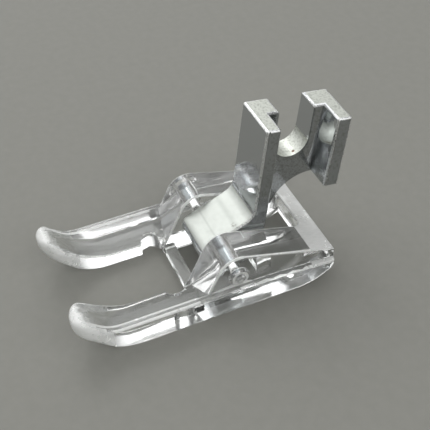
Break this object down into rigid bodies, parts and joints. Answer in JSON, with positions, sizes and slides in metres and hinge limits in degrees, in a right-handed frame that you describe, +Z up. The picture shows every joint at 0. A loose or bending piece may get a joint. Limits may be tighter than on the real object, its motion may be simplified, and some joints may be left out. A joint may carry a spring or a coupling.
{
  "type": "sewing machine presser foot",
  "caption": "Open-toe presser foot with a clear moulded sole that tips on a steel pin through a chromed low shank, slotted for a clamp screw.",
  "frame": {"origin": "on the surface that the sole stands on, under the middle of the foot's box", "axes": "+X to the operator's right, +Y to the rear away from the operator, +Z up along the presser bar"},
  "size_m": [0.021, 0.0428, 0.0238],
  "materials": {
    "clear_plastic": "polished clear moulding",
    "pin_steel": "bright drawn steel",
    "chrome_plate": "bright plating, a little worn"
  },
  "bodies": {
    "sole": {"clear_sole": "clear_plastic", "hinge_pin": "pin_steel"},
    "shank_body": {"shank": "chrome_plate"}
  },
  "joints": [
    {"name": "shank_tilt", "type": "hinge", "parent": "sole", "child": "shank_body", "pos_m": [0, 0.00182, 0.00595], "axis": [1, 0, 0], "range_deg": [0, 25]}
  ]
}
